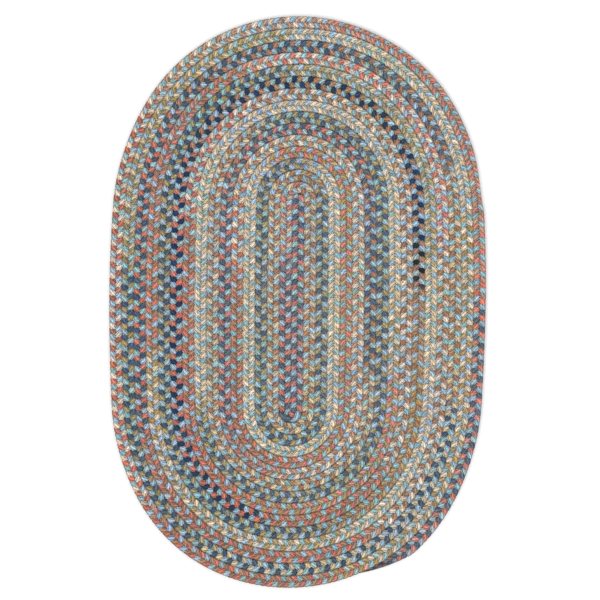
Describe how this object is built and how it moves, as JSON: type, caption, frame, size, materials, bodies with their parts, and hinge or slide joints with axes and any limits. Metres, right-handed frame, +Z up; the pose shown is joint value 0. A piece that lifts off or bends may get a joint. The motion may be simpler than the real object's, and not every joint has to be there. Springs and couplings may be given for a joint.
{
  "type": "braided rug",
  "caption": "Flat oval rug of one three-strand braid wound round a straight core and laced edge to edge, laid on a floor.",
  "frame": {"origin": "centre of the rug's outline at its flat underside", "axes": "+Y along the rug's length, +X across it to the right as seen from above, +Z up through its thickness"},
  "size_m": [0.6016, 0.9136, 0.0115],
  "materials": {
    "braid": "matt plied yarn, one light blue strand and two space-dyed strands in each braid"
  },
  "bodies": {
    "root": {"braided_rug": "braid"}
  },
  "joints": []
}
